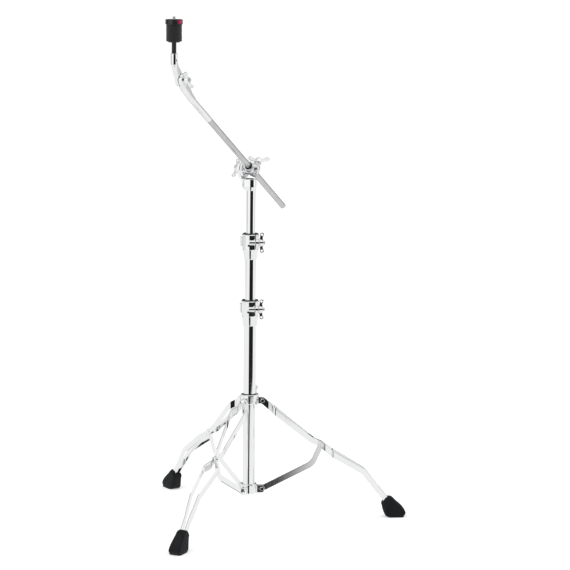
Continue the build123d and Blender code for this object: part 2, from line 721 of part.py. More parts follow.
ring(
    "boom_clamp_washer",
    Plane(origin=HEAD + SIDE * CLAMP_T + NORMAL * CLAMP_TOP, x_dir=ARM, z_dir=NORMAL),
    8.2,
    BOLT_R,
    WASHER_T,
)
wing_fastener(
    "boom_wing_nut",
    Plane(
        origin=HEAD + SIDE * CLAMP_T + NORMAL * (CLAMP_TOP + WASHER_T + RUN), x_dir=SIDE, z_dir=NORMAL
    ),
    half_span=26.0,
    bore=BOLT_R + RUN,
    rise=5.0,
)

with BuildPart() as boom_bushing:
    with BuildSketch(across_arm(-14)):
        Circle(BUSHING_R - RUN)
        Circle(ARM_R + RUN, mode=Mode.SUBTRACT)
        with Locations((BUSHING_R, 0)):
            Rectangle(8, 1.2, mode=Mode.SUBTRACT)
    extrude(amount=28)
save(boom_bushing, "boom_bushing")

# ---------------------------------------------------------------- boom arm
with BuildPart() as boom_arm:
    with BuildSketch(across_arm(ARM_LOW)):
        Circle(ARM_R)
    extrude(amount=ARM_STEP - ARM_LOW)
    with BuildSketch(across_arm(ARM_STEP)):
        Circle(ARM_SMOOTH_R)
    extrude(amount=ARM_HIGH - ARM_STEP)
    with BuildSketch(across_arm(ARM_LOW - 1)):
        Circle(ARM_R - ARM_WALL)
    extrude(amount=ARM_HIGH - ARM_LOW + 2, mode=Mode.SUBTRACT)
save(boom_arm, "boom_arm")

with BuildPart() as boom_arm_cap:
    with BuildSketch(across_arm(ARM_LOW)):
        Circle(ARM_R)
    extrude(amount=-CAP_T)
    chamfer(boom_arm_cap.faces().sort_by(Axis(HEAD, ARM))[0].edges(), length=1.0)
    with BuildSketch(across_arm(ARM_LOW)):
        Circle(ARM_R - ARM_WALL)
    extrude(amount=CAP_PLUG)
save(boom_arm_cap, "boom_arm_cap")


# ---------------------------------------------------------------- cymbal tilter
def drum_plane(shift):
    """Plane square to the tilter's axis at its drum, shifted sideways."""
    return boom_side(shift, DRUM)


DRUM_GAP = 0.55
DRUM_FACE = 9.0
CASTING_EDGE = 5.5              # rounding along the tilter's two arms
TILTER_BOLT_HEAD_R = 7.5
drum_along = (DRUM - HEAD).dot(ARM)
drum_rise = (DRUM - HEAD).dot(NORMAL)

with BuildPart() as tilter_base:
    with BuildSketch(boom_side(DRUM_FACE - 1)):
        with BuildLine():
            top_edge = Spline(
                (ARM_HIGH, 7.2),
                (ARM_HIGH + 28, 12.5),
                (drum_along - 6, drum_rise + TILTER_R - 1.4),
                tangents=((1, 0), (1, 0.45)),
            )
            joint_edge = Line(top_edge @ 1, (drum_along + 9, drum_rise - 9.5))
            low_edge = Spline(
                joint_edge @ 1,
                (ARM_HIGH + 34, -5.5),
                (ARM_HIGH, -7.2),
                tangents=((-0.9, -0.5), (-1, 0)),
            )
            Line(low_edge @ 1, top_edge @ 0)
        make_face()
    extrude(amount=14)
    fillet(edges().filter_by(GeomType.BSPLINE), radius=CASTING_EDGE)
    with BuildSketch(drum_plane(DRUM_FACE)):
        Circle(TILTER_R)
    extrude(amount=DRUM_FACE - DRUM_GAP)
    with BuildSketch(drum_plane(DRUM_GAP)):
        Circle(TILTER_R + 1.2)
    extrude(amount=20, mode=Mode.SUBTRACT)
    with BuildSketch(across_arm(ARM_HIGH - 25)):
        Circle(ARM_R - ARM_WALL)
    extrude(amount=26)
    with BuildSketch(drum_plane(DRUM_FACE + 5)):
        Circle(BOLT_R)
    extrude(amount=30, mode=Mode.SUBTRACT)
save(tilter_base, "tilter_base")

with BuildPart() as tilter_head:
    with BuildSketch(upright_side(ROD_SIDE + 6.5)):
        with BuildLine():
            inner = Spline(
                (DRUM_OUT - 9, DRUM_Z + 9.5),
                (ROD_OUT - 10, DRUM_Z + 33),
                (ROD_OUT - 6.8, SLEEVE_BOTTOM - 4),
                tangents=((0.5, 0.85), (0, 1)),
            )
            cap = Line(inner @ 1, (ROD_OUT + 6.8, SLEEVE_BOTTOM - 4))
            outer = Spline(
                cap @ 1,
                (ROD_OUT + 2, DRUM_Z + 22),
                (DRUM_OUT + 12.5, DRUM_Z - 3),
                tangents=((0, -1), (-0.4, -0.9)),
            )
            Line(outer @ 1, inner @ 0)
        make_face()
    extrude(amount=13)
    fillet(edges().filter_by(GeomType.BSPLINE), radius=CASTING_EDGE)
    with BuildSketch(drum_plane(-DRUM_GAP)):
        Circle(TILTER_R)
    extrude(amount=DRUM_FACE - DRUM_GAP)
    with BuildSketch(drum_plane(10)):
        Circle(TILTER_R + 1.2)
    extrude(amount=10 + DRUM_GAP, mode=Mode.SUBTRACT)
    with BuildSketch(Plane(origin=ROD + UP * (DRUM_Z + 32), x_dir=SIDE, z_dir=UP)):
        Circle(STEM_R)
    extrude(amount=SLEEVE_BOTTOM - DRUM_Z - 32)
    with BuildSketch(Plane(origin=ROD + UP * (DRUM_Z + ROD_EMBED), x_dir=SIDE, z_dir=UP)):
        Circle(ROD_R)
    extrude(amount=60, mode=Mode.SUBTRACT)
    with BuildSketch(drum_plane(10)):
        Circle(BOLT_R + RUN)
    extrude(amount=30, mode=Mode.SUBTRACT)
    with BuildSketch(drum_plane(-DRUM_FACE)):
        Circle(TILTER_BOLT_HEAD_R + 0.4)
    extrude(amount=10, mode=Mode.SUBTRACT)
    set_screw_plane = Plane(origin=ROD + UP * (DRUM_Z + 42), x_dir=UP, z_dir=SIDE)
    with BuildSketch(set_screw_plane):
        Circle(SET_SCREW_R)
    extrude(amount=12, mode=Mode.SUBTRACT)
save(tilter_head, "tilter_head")

with BuildPart() as tilter_set_screw:
    with BuildSketch(set_screw_plane.offset(ROD_R)):
        Circle(SET_SCREW_R)
    extrude(amount=3.4)
    with BuildSketch(set_screw_plane.offset(ROD_R + 1.4)):
        RegularPolygon(1.1, 6)
    extrude(amount=5, mode=Mode.SUBTRACT)
save(tilter_set_screw, "tilter_set_screw")

with BuildPart() as tilter_bolt:
    with BuildSketch(drum_plane(-DRUM_FACE)):
        Circle(TILTER_BOLT_HEAD_R)
    extrude(amount=3)
    chamfer(tilter_bolt.faces().sort_by(Axis(DRUM, SIDE))[0].edges(), length=1.2)
    with BuildSketch(drum_plane(-DRUM_FACE)):
        Circle(BOLT_R)
    extrude(amount=-(2 * DRUM_FACE + 13))
save(tilter_bolt, "tilter_bolt")

ring("tilter_friction_disc", drum_plane(DRUM_GAP - RUN), 12.0, BOLT_R, 2 * (DRUM_GAP - RUN))

wing_fastener(
    "tilter_wing_nut",
    Plane(
        origin=DRUM + SIDE * (DRUM_FACE + RUN),
        x_dir=UP * cos(radians(43)) + OUT * sin(radians(43)),
        z_dir=SIDE,
    ),
    half_span=23.0,
    bore=BOLT_R + RUN,
    rise=4.0,
)


# ---------------------------------------------------------------- cymbal seat
BUTTON_DIR = Vector(cos(radians(BUTTON_ANGLE)), sin(radians(BUTTON_ANGLE)), 0)


def rod_plane(height):
    """Level plane centred on the cymbal rod; x towards the button."""
    return Plane(origin=ROD + UP * height, x_dir=BUTTON_DIR, z_dir=UP)


with BuildPart() as cymbal_rod:
    with BuildSketch(rod_plane(DRUM_Z + ROD_EMBED)):
        Circle(ROD_R)
    extrude(amount=ROD_TIP - DRUM_Z - ROD_EMBED)
    chamfer(cymbal_rod.edges().group_by(Axis.Z)[-1], length=1.0)
save(cymbal_rod, "cymbal_rod")

ring("cymbal_sleeve", rod_plane(SLEEVE_BOTTOM), SLEEVE_R, ROD_R, NUT_Z - 0.5 - SLEEVE_BOTTOM)
ring("felt_seat", rod_plane(SEAT_Z - 2), 12.0, SLEEVE_R, 2.0)


def felt(name, bottom, top):
    with BuildPart() as piece:
        with BuildSketch(rod_plane(bottom)):
            Circle(FELT_R)
            Circle(SLEEVE_R + GAP, mode=Mode.SUBTRACT)
        extrude(amount=top - bottom)
        rim = piece.edges().filter_by(GeomType.CIRCLE).filter_by(lambda e: abs(e.radius - FELT_R) < 0.01)
        fillet(rim, radius=FELT_RIM)
    save(piece, name)


felt("lower_felt", SEAT_Z, FELT_SPLIT - GAP / 2)
felt("upper_felt", FELT_SPLIT + GAP / 2, NUT_Z - GAP)

PLATE_Z, PLATE_T = NUT_Z + 3.0, 2.4
BUTTON_HALF, BUTTON_TRAVEL = 6.5, 2.5
BUTTON_BACK, BUTTON_HEIGHT = 14.2, 6.6
PLATE_ROOT, PLATE_END = 15.0, -9.0    # ends of the button's plate, from the rod's axis
SLOT_END = -13.0                      # far end of the plate's slot in the nut
RECESS_BACK, RECESS_HEIGHT = 11.5, 7.0
SPRING_R, SPRING_WALL = 1.1, 0.4
SPRING_LENGTH = 2.2                   # fully compressed
SPRING_GAP = 0.1
PRESSED_ROOM = 0.4                    # left behind the spring with the button fully in
POCKET_DEPTH = SPRING_LENGTH + BUTTON_TRAVEL + PRESSED_ROOM
SIDE_GAP = 0.2

spring_plane = Plane(
    origin=ROD + BUTTON_DIR * (PLATE_END - SPRING_GAP) + UP * (PLATE_Z + PLATE_T / 2),
    x_dir=UP,
    z_dir=BUTTON_DIR * -1,
)

with BuildPart() as quick_release_nut:
    with BuildSketch(rod_plane(NUT_Z)):
        Circle(NUT_R)
    extrude(amount=NUT_TOP - NUT_Z)
    fillet(quick_release_nut.edges().group_by(Axis.Z)[-1], radius=2.0)
    chamfer(quick_release_nut.edges().group_by(Axis.Z)[0], length=0.6)
    with BuildSketch(rod_plane(NUT_Z - 1)):
        Circle(ROD_R + 0.4)
    extrude(amount=20, mode=Mode.SUBTRACT)
    with BuildSketch(rod_plane(PLATE_Z - SIDE_GAP)):
        with Locations(((NUT_R + SLOT_END) / 2, 0)):
            Rectangle(NUT_R - SLOT_END, 2 * (BUTTON_HALF + SIDE_GAP))
    extrude(amount=PLATE_T + 2 * SIDE_GAP, mode=Mode.SUBTRACT)
    with BuildSketch(rod_plane(NUT_Z + 1.8)):
        with Locations(((RECESS_BACK + NUT_R + 4) / 2, 0)):
            Rectangle(NUT_R + 4 - RECESS_BACK, 2 * (BUTTON_HALF + SIDE_GAP))
    extrude(amount=RECESS_HEIGHT, mode=Mode.SUBTRACT)
    with BuildSketch(spring_plane):
        Circle(SPRING_R + SIDE_GAP)
    extrude(amount=POCKET_DEPTH, mode=Mode.SUBTRACT)
    for notch in range(1, GRIP_NOTCHES + 1):
        turn = 360 * notch / (GRIP_NOTCHES + 1)
        with BuildSketch(rod_plane(NUT_Z + 1.6)):
            with Locations((NUT_R * cos(radians(turn)), NUT_R * sin(radians(turn)))):
                Rectangle(NOTCH_DEPTH, NOTCH_WIDTH, rotation=turn)
        extrude(amount=NUT_TOP - NUT_Z, mode=Mode.SUBTRACT)
save(quick_release_nut, "quick_release_nut")

with BuildPart() as quick_release_button:
    with BuildSketch(rod_plane(NUT_Z + 2.0)):
        with BuildLine():
            Line((BUTTON_BACK, -BUTTON_HALF), (NUT_R - 1.2, -BUTTON_HALF))
            ThreePointArc((NUT_R - 1.2, -BUTTON_HALF), (NUT_R + 1.2, 0), (NUT_R - 1.2, BUTTON_HALF))
            Line((NUT_R - 1.2, BUTTON_HALF), (BUTTON_BACK, BUTTON_HALF))
            Line((BUTTON_BACK, BUTTON_HALF), (BUTTON_BACK, -BUTTON_HALF))
        make_face()
    extrude(amount=BUTTON_HEIGHT)
    with BuildSketch(rod_plane(PLATE_Z)):
        with Locations(((PLATE_ROOT + PLATE_END) / 2, 0)):
            Rectangle(PLATE_ROOT - PLATE_END, 2 * BUTTON_HALF)
        with Locations((BUTTON_TRAVEL / 2, 0)):
            SlotCenterToCenter(BUTTON_TRAVEL, 2 * (ROD_R + 0.3), mode=Mode.SUBTRACT)
    extrude(amount=PLATE_T)
save(quick_release_button, "quick_release_button")

with BuildPart() as quick_release_spring:
    with BuildSketch(spring_plane):
        Circle(SPRING_R)
        Circle(SPRING_R - SPRING_WALL, mode=Mode.SUBTRACT)
    extrude(amount=SPRING_LENGTH)
save(quick_release_spring, "quick_release_spring")
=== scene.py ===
import json
from math import cos, pi, radians, sin

import bmesh
import bpy
from mathutils import Matrix, Vector, noise

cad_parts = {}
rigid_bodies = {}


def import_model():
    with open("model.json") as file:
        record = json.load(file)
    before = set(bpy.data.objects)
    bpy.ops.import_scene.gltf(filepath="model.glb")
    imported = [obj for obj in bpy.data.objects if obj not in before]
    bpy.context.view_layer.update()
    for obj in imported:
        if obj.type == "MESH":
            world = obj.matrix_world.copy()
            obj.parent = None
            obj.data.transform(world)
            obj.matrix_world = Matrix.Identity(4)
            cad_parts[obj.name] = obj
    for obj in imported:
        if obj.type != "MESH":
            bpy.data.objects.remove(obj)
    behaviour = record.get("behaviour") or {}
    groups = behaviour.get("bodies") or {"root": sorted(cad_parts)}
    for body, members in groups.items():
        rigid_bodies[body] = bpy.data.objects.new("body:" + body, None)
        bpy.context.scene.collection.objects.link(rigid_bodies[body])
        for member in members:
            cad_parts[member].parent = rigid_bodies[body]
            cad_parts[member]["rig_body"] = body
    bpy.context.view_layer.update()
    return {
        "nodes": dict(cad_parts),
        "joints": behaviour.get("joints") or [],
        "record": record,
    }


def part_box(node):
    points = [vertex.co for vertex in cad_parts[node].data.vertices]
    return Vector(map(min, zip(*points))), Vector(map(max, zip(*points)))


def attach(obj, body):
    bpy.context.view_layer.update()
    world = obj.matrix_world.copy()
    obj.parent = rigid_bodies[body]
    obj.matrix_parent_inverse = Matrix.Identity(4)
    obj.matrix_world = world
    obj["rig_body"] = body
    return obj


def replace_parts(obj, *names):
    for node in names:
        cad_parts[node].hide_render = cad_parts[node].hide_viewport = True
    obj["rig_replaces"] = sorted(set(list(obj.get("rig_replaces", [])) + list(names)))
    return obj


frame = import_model()

# A cymbal boom stand. Metres, +Z up, origin on the tube axis at the floor.
MM = 0.001
UP = Vector((0, 0, 1))
TAU = 2 * pi

joints = {joint["name"]: joint for joint in frame["joints"]}
slots = {part["node"]: part["material_slot"] for part in frame["record"]["subparts"]}

HEAD = Vector(joints["boom_tilt"]["pos_m"])
SIDE = -Vector(joints["boom_tilt"]["axis"])
ARM = Vector(joints["boom_slide"]["axis"])
NORMAL = ARM.cross(SIDE)
DRUM = Vector(joints["tilter_tilt"]["pos_m"])


# ---------------------------------------------------------------- materials
def node_maker(tree):
    """Shorthand for adding a node with its settings and inputs; inputs are values or sockets."""

    def add(kind, settings=None, **inputs):
        node = tree.nodes.new(kind)
        for key, value in (settings or {}).items():
            setattr(node, key, value)
        for key, value in inputs.items():
            name = key.replace("_", " ")
            numbered = key[0] == "i" and key[1:].isdigit()
            socket = node.inputs[int(key[1:])] if numbered else node.inputs[name]
            if isinstance(value, bpy.types.NodeSocket):
                tree.links.new(value, socket)
            else:
                socket.default_value = value
        return node

    return add


def span(add, value, low, high, start, end, smooth=False):
    """Maps value from low..high to start..end, clamped."""
    kind = "SMOOTHSTEP" if smooth else "LINEAR"
    node = add(
        "ShaderNodeMapRange",
        {"interpolation_type": kind},
        i0=value, i1=low, i2=high, i3=start, i4=end,
    )
    return node.outputs[0]


def surface(
    name, colour, metallic, colour_noise, rough_range, rough_scale, bumps, stretch=(1, 1, 1), **fixed
):
    """Principled material in object space.

    colour_noise is (scale, darker share), bumps are (scale, detail, strength, depth) layers.
    """
    material = bpy.data.materials.new(name)
    material.use_nodes = True
    tree = material.node_tree
    shader = tree.nodes["Principled BSDF"]
    add = node_maker(tree)
    place = add("ShaderNodeTexCoord").outputs["Object"]
    along = add("ShaderNodeMapping", None, Vector=place, Scale=stretch).outputs[0]

    patches = add("ShaderNodeTexNoise", None, Vector=place, Scale=colour_noise[0], Detail=5.0)
    share = span(add, patches.outputs[0], 0.35, 0.75, 0.0, 1.0)
    dark = tuple(channel * (1 - colour_noise[1]) for channel in colour)
    mix = add("ShaderNodeMix", {"data_type": "RGBA"}, Factor=share)
    mix.inputs[6].default_value = (*colour, 1)
    mix.inputs[7].default_value = (*dark, 1)
    tree.links.new(mix.outputs[2], shader.inputs["Base Color"])

    smears = add("ShaderNodeTexNoise", None, Vector=along, Scale=rough_scale, Detail=6.0, Roughness=0.65)
    rough = span(add, smears.outputs[0], 0.35, 0.7, *rough_range)
    tree.links.new(rough, shader.inputs["Roughness"])

    normal = None
    for scale, detail, strength, depth in bumps:
        grain = add("ShaderNodeTexNoise", None, Vector=along, Scale=scale, Detail=detail, Roughness=0.6)
        bump = add("ShaderNodeBump", None, Height=grain.outputs[0], Strength=strength, Distance=depth)
        if normal:
            tree.links.new(normal, bump.inputs["Normal"])
        normal = bump.outputs[0]
    tree.links.new(normal, shader.inputs["Normal"])

    shader.inputs["Metallic"].default_value = metallic
    for key, value in fixed.items():
        shader.inputs[key.replace("_", " ")].default_value = value
    return material


CHROME = (0.90, 0.905, 0.91)
looks = {
    # drawn tube: bright plate with hairline polishing marks along its length
    "chrome": surface(
        "chrome", CHROME, 1.0, (14, 0.03), (0.025, 0.06), 35, [(900, 3, 0.03, 0.02 * MM)], (1, 1, 0.06)
    ),
    # die casting: a little softer, with a faint ripple
    "chrome_casting": surface(
        "chrome_casting", CHROME, 1.0, (45, 0.06), (0.04, 0.10), 90,
        [(220, 2, 0.10, 0.12 * MM), (1500, 3, 0.04, 0.02 * MM)],
    ),
    # the same casting where it was only tumbled, not polished
    "satin_casting": surface(
        "satin_casting", (0.80, 0.805, 0.81), 1.0, (60, 0.10), (0.26, 0.36), 120,
        [(220, 2, 0.10, 0.12 * MM), (1900, 4, 0.10, 0.03 * MM)],
    ),
    "knurled_steel": surface(
        "knurled_steel", (0.60, 0.605, 0.61), 1.0, (60, 0.10), (0.10, 0.22), 160, [(1800, 3, 0.08, 0.03 * MM)]
    ),
    "zinc_steel": surface(
        "zinc_steel", (0.66, 0.665, 0.66), 1.0, (120, 0.15), (0.22, 0.38), 260, [(2400, 4, 0.12, 0.03 * MM)]
    ),
    "dark_screw": surface(
        "dark_screw", (0.035, 0.035, 0.036), 0.6, (300, 0.3), (0.35, 0.55), 500, [(2500, 4, 0.2, 0.03 * MM)]
    ),
    # moulded rubber: fine matt grain with dusty and scuffed patches
    "black_rubber": surface(
        "black_rubber", (0.0085, 0.0100, 0.0112), 0.0, (55, 0.45), (0.55, 0.82), 130,
        [(420, 3, 0.22, 0.25 * MM), (2600, 5, 0.35, 0.08 * MM)], Specular_IOR_Level=0.24,
    ),
    "black_nylon": surface(
        "black_nylon", (0.013, 0.016, 0.016), 0.0, (150, 0.35), (0.32, 0.5), 220, [(2200, 4, 0.2, 0.04 * MM)]
    ),
    # pressed wool: matted fibres
    "black_felt": surface(
        "black_felt", (0.015, 0.015, 0.017), 0.0, (900, 0.65), (0.85, 1.0), 500,
        [(700, 6, 0.6, 0.45 * MM), (2600, 8, 0.8, 0.20 * MM)],
        Sheen_Weight=0.22, Sheen_Roughness=0.6, Specular_IOR_Level=0.15,
    ),
    "black_plastic": surface(
        "black_plastic", (0.016, 0.016, 0.017), 0.0, (140, 0.3), (0.24, 0.40), 240,
        [(2800, 4, 0.18, 0.04 * MM)],
    ),
    "red_plastic": surface(
        "red_plastic", (0.47, 0.006, 0.085), 0.0, (140, 0.18), (0.22, 0.36), 240,
        [(2800, 4, 0.15, 0.04 * MM)], Subsurface_Weight=0.06, Subsurface_Scale=0.002,
    ),
}


# ---------------------------------------------------------------- mesh helpers
def add_piece(mesh, node, name=None, look=None):
    """A finished mesh that stands for a CAD node: same body, same slot."""
    piece = bpy.data.objects.new(name or f"{node}_look", mesh)
    bpy.context.scene.collection.objects.link(piece)
    mesh.materials.clear()
    mesh.materials.append(looks[look or slots[node]])
    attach(piece, frame["nodes"][node]["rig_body"])
    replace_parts(piece, node)
    return piece


def smooth(mesh, angle=35):
    """Smooth shading that keeps edges sharper than angle."""
    mesh.shade_smooth()
    mesh.set_sharp_from_angle(angle=radians(angle))


def weigh_normals(piece):
    """Large faces keep their own direction and their rounded edges take up the turn."""
    weighted = piece.modifiers.new("weighted_normals", "WEIGHTED_NORMAL")
    weighted.keep_sharp = True


def baked(piece):
    """The mesh of a piece with its modifiers applied."""
    bpy.context.view_layer.update()
    graph = bpy.context.evaluated_depsgraph_get()
    mesh = bpy.data.meshes.new_from_object(piece.evaluated_get(graph))
    bpy.data.objects.remove(piece)
    return mesh


def cad_mesh(node):
    """The node's CAD mesh with its split vertices joined and its flat faces merged."""
    form = bmesh.new()
    form.from_mesh(frame["nodes"][node].data)
    bmesh.ops.remove_doubles(form, verts=form.verts, dist=0.002 * MM)
    bmesh.ops.dissolve_limit(form, angle_limit=radians(0.5), verts=form.verts, edges=form.edges)
    mesh = bpy.data.meshes.new(node)
    form.to_mesh(mesh)
    form.free()
    return mesh


def soften(node, width=0.5 * MM, segments=2):
    """A machined or pressed node with its edges rounded."""
    mesh = cad_mesh(node)
    smooth(mesh)
    piece = bpy.data.objects.new("work", mesh)
    bpy.context.scene.collection.objects.link(piece)
    bevel = piece.modifiers.new("bevel", "BEVEL")
    bevel.width = width
    bevel.segments = segments
    bevel.limit_method = "ANGLE"
    bevel.angle_limit = radians(32)
    bevel.use_clamp_overlap = True
    bevel.miter_outer = "MITER_ARC"
    piece = add_piece(baked(piece), node)
    smooth(piece.data, 50)
    weigh_normals(piece)
    return piece


def cast(node, voxel=0.5 * MM, rounds=4):
    """A die-cast node: its CAD shape with every edge melted a little, as polishing leaves it."""
    piece = bpy.data.objects.new("work", cad_mesh(node))
    bpy.context.scene.collection.objects.link(piece)
    remesh = piece.modifiers.new("remesh", "REMESH")
    remesh.mode = "VOXEL"
    remesh.voxel_size = voxel
    relax = piece.modifiers.new("relax", "SMOOTH")
    relax.factor = 0.5
    relax.iterations = rounds
    piece = add_piece(baked(piece), node)
    piece.data.shade_smooth()
    return piece


def radial(point, origin, axis):
    """Splits a point into its foot on an axis and its offset square to it."""
    foot_point = origin + axis * (point - origin).dot(axis)
    return foot_point, point - foot_point


def ream(piece, origin, axis, radius):
    """Opens a casting's bore to a clean radius, on the side of the origin the axis points to."""
    for vertex in piece.data.vertices:
        foot_point, offset = radial(vertex.co, origin, axis)
        if (foot_point - origin).dot(axis) > 0 and 0 < offset.length < radius:
            vertex.co = foot_point + offset.normalized() * radius


def turn_down(piece, origin, axis, seat, radius):
    """Brings a cast bolt's shank, inside its seat, to a clean radius."""
    for vertex in piece.data.vertices:
        foot_point, offset = radial(vertex.co, origin, axis)
        if (foot_point - origin).dot(axis) < seat and offset.length > radius:
            vertex.co = foot_point + offset.normalized() * radius


def square_to(axis):
    """Two unit vectors square to an axis and to each other."""
    axis = Vector(axis).normalized()
    across = axis.cross(UP if abs(axis.z) < 0.9 else Vector((1, 0, 0))).normalized()
    return across, axis.cross(across)


def skin(rings, closed_ends=(False, False), loop=False):
    """Mesh through rings of points; a closed end gets a fan, a loop joins last to first."""
    form = bmesh.new()
    rows = [[form.verts.new(point) for point in ring] for ring in rings]
    pairs = list(zip(rows, rows[1:])) + ([(rows[-1], rows[0])] if loop else [])
    for low, high in pairs:
        for i in range(len(low)):
            j = (i + 1) % len(low)
            form.faces.new((low[i], low[j], high[j], high[i]))
    for end, row in ((0, rows[0]), (1, rows[-1])):
        if closed_ends[end]:
            middle = form.verts.new(sum((v.co for v in row), Vector()) / len(row))
            for i in range(len(row)):
                form.faces.new((row[i], row[(i + 1) % len(row)], middle))
    bmesh.ops.recalc_face_normals(form, faces=form.faces)
    mesh = bpy.data.meshes.new("skin")
    form.to_mesh(mesh)
    form.free()
    return mesh


def lathe(profile, origin, axis, segments=96, shape=None, **ends):
    """Turned mesh: profile is (radius, height) pairs; shape may change a radius by place."""
    across, upward = square_to(axis)
    axis = Vector(axis).normalized()
    rings = []
    for radius, height in profile:
        ring = []
        for i in range(segments):
            angle = TAU * i / segments
            r = shape(radius, height, angle) if shape else radius
            ring.append(Vector(origin) + axis * height + (across * cos(angle) + upward * sin(angle)) * r)
        rings.append(ring)
    return skin(rings, **ends)


def rounded(points, radius, steps=3):
    """Replaces each corner of a closed (radius, height) outline by a small arc."""
    result = []
    count = len(points)
    for i in range(count):
        before, corner, after = (Vector(points[(i + k) % count]) for k in (-1, 0, 1))
        reach_in = min(radius, (before - corner).length * 0.45)
        reach_out = min(radius, (after - corner).length * 0.45)
        start = corner + (before - corner).normalized() * reach_in
        end = corner + (after - corner).normalized() * reach_out
        for k in range(steps + 1):
            t = k / steps
            result.append(tuple(start * (1 - t) ** 2 + corner * 2 * t * (1 - t) + end * t * t))
    return result


# ---------------------------------------------------------------- tubes
def tube(node, outer, wall, edge=0.4 * MM):
    """A drawn tube with turned ends, from its CAD box."""
    low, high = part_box(node)
    outline = [(outer, 0), (outer, high.z - low.z), (outer - wall, high.z - low.z), (outer - wall, 0)]
    mesh = lathe(rounded(outline, edge), (0, 0, low.z), UP, 128, loop=True)
    smooth(mesh, 60)
    weigh_normals(add_piece(mesh, node))


def half_width(node):
    low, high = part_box(node)
    return (high.x - low.x) / 2


for name, wall in (("base_tube", 1.3 * MM), ("middle_tube", 1.2 * MM), ("upper_tube", 1.2 * MM)):
    tube(name, half_width(name), wall)


# ---------------------------------------------------------------- boom arm: knurled steel, then a smooth end
def reach(node, axis, origin):
    """Least and greatest place of a node's vertices along an axis."""
    places = [(v.co - origin).dot(axis) for v in frame["nodes"][node].data.vertices]
    return min(places), max(places)


def radius_about(node, axis, origin):
    """Greatest distance of a node's vertices from an axis."""
    vertices = frame["nodes"][node].data.vertices
    return max(((v.co - origin) - axis * (v.co - origin).dot(axis)).length for v in vertices)


ARM_LOW, ARM_HIGH = reach("boom_arm", ARM, HEAD)
ARM_R = 6.35 * MM
ARM_SMOOTH_R = radius_about("boom_arm", ARM, HEAD)
ARM_BORE = ARM_R - 1.6 * MM
ARM_STEP = 241 * MM
KNURL_DEPTH = 0.16 * MM
KNURL_TEETH = 34
KNURL_PITCH = TAU * ARM_R / KNURL_TEETH


def knurl(radius, height, angle):
    """Diamond knurl: two crossed sets of grooves, none near the ends."""
    if radius < ARM_R - KNURL_DEPTH or height > ARM_STEP - 2 * MM or height < ARM_LOW + 1.5 * MM:
        return radius
    turn = angle / TAU * KNURL_TEETH
    rise = height / KNURL_PITCH
    groove = max(abs((turn + rise) % 1 - 0.5), abs((turn - rise) % 1 - 0.5))
    return radius - KNURL_DEPTH * (2 * groove) ** 2


knurled = [(ARM_BORE, ARM_LOW), (ARM_R - 0.3 * MM, ARM_LOW), (ARM_R, ARM_LOW + 0.4 * MM)]
step = KNURL_PITCH / 2
count = int((ARM_STEP - ARM_LOW - 3 * MM) / step)
knurled += [(ARM_R, ARM_LOW + 1.5 * MM + step * i) for i in range(count)]
smooth_end = [
    (ARM_R, ARM_STEP), (ARM_SMOOTH_R - 0.3 * MM, ARM_STEP), (ARM_SMOOTH_R, ARM_STEP + 0.3 * MM),
    (ARM_SMOOTH_R, ARM_STEP + 1.5 * MM), (ARM_SMOOTH_R, ARM_HIGH - 1.5 * MM), (ARM_SMOOTH_R, ARM_HIGH),
    (ARM_BORE, ARM_HIGH),
]
arm_mesh = lathe(knurled + smooth_end, HEAD, ARM, 2 * KNURL_TEETH, knurl, loop=True)
smooth(arm_mesh, 60)
arm = add_piece(arm_mesh, "boom_arm")
arm.data.materials.append(looks["chrome"])
for face in arm.data.polygons:
    if (face.center - HEAD).dot(ARM) > ARM_STEP:
        face.material_index = 1


# ---------------------------------------------------------------- threaded bolts
def threaded(node, origin, axis, start, radius=4 * MM, pitch=1.25 * MM, depth=0.35 * MM):
    """A bolt's shank from its CAD length, with a rolled thread beyond start."""
    low, high = reach(node, axis, origin)
    end_chamfer = 0.8 * MM

    def screw(r, height, angle):
        if height < start or r < radius:
            return r
        phase = (height / pitch - angle / TAU) % 1
        return r - depth * abs(2 * phase - 1)

    rows = [(radius * 0.7, low), (radius, low + 0.3 * MM), (radius, start)]
    turns = int((high - end_chamfer - start) / (pitch / 4))
    rows += [(radius, start + (i + 1) * pitch / 4) for i in range(turns)]
    rows += [(radius - depth, high - 0.5 * end_chamfer), (radius - end_chamfer, high)]
    mesh = lathe(rows, origin, axis, 40, screw, closed_ends=(True, True))
    smooth(mesh, 50)
    return mesh


CLAMP_THREAD_START = 11 * MM
for prefix in ("lower", "upper"):
    node = f"{prefix}_clamp_bolt"
    low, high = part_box(node)
    centre = Vector((0, (low.y + high.y) / 2, (low.z + high.z) / 2))
    add_piece(threaded(node, centre, Vector((1, 0, 0)), CLAMP_THREAD_START), node)

rod_low, rod_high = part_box("cymbal_rod")
ROD = Vector(((rod_low.x + rod_high.x) / 2, (rod_low.y + rod_high.y) / 2, 0))
ROD_R, ROD_THREAD, ROD_PITCH, ROD_THREAD_DEPTH = 3 * MM, 24 * MM, 1.0 * MM, 0.28 * MM
rod_mesh = threaded("cymbal_rod", ROD, UP, rod_high.z - ROD_THREAD, ROD_R, ROD_PITCH, ROD_THREAD_DEPTH)
add_piece(rod_mesh, "cymbal_rod")


